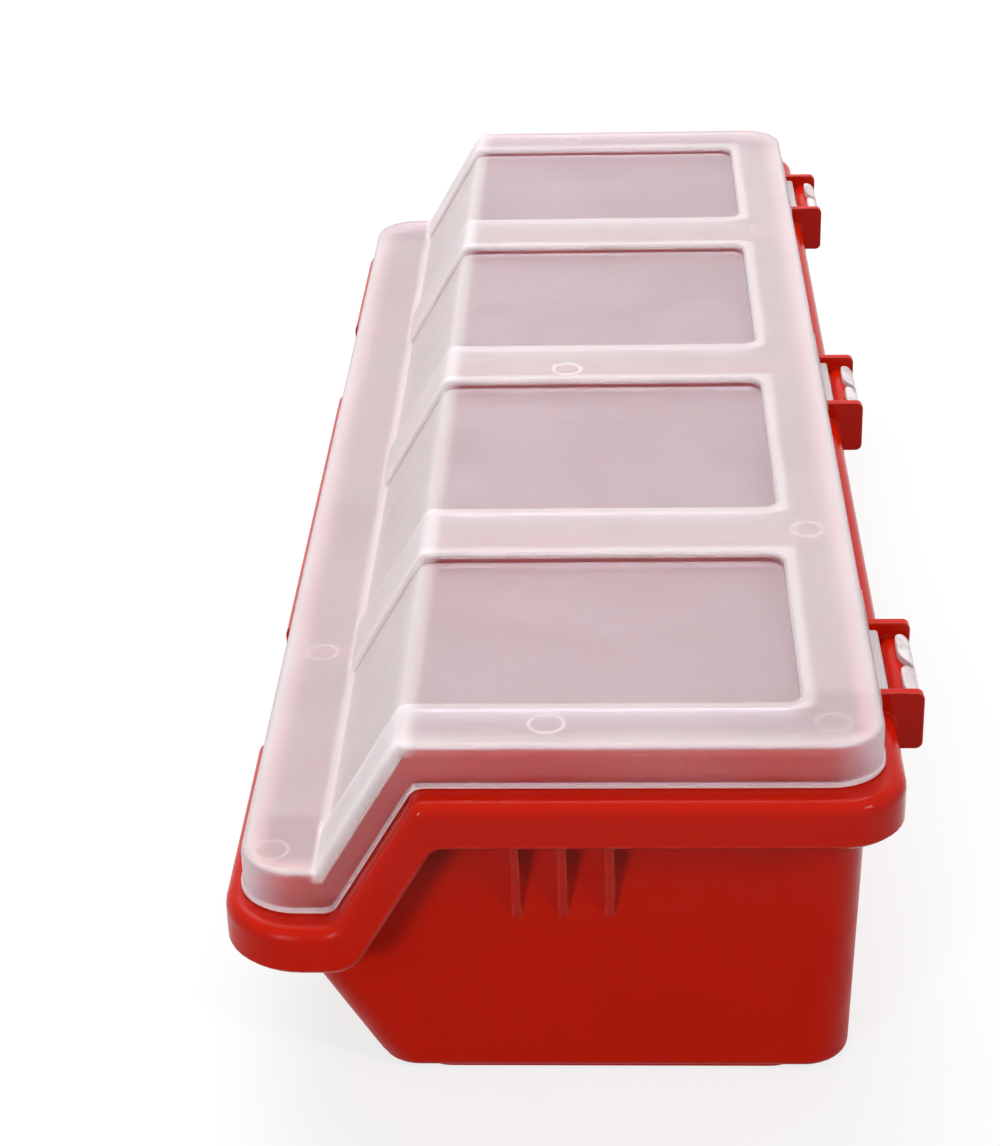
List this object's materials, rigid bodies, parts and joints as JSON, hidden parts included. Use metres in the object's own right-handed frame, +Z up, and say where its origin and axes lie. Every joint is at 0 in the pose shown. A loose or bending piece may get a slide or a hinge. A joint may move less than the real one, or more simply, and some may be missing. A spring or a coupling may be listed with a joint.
{
  "type": "screw organizer box",
  "caption": "Long parts box with fixed compartments, a low slanted front and a clear lid that swings up on clip hinges along the rear rim.",
  "frame": {"origin": "middle of the closed box, on the face it stands on", "axes": "+X along the box, -Y towards the low front, +Z up"},
  "size_m": [0.31, 0.1106, 0.065],
  "materials": {
    "tray": "gloss",
    "lid": "frosted clear polypropylene"
  },
  "bodies": {
    "tray": {"tray": "tray"},
    "lid": {"lid": "lid"}
  },
  "joints": [
    {"name": "lid_hinge", "type": "hinge", "parent": "tray", "child": "lid", "pos_m": [0, 0.05198, 0.0565], "axis": [-1, 0, 0], "range_deg": [0, 190]}
  ]
}
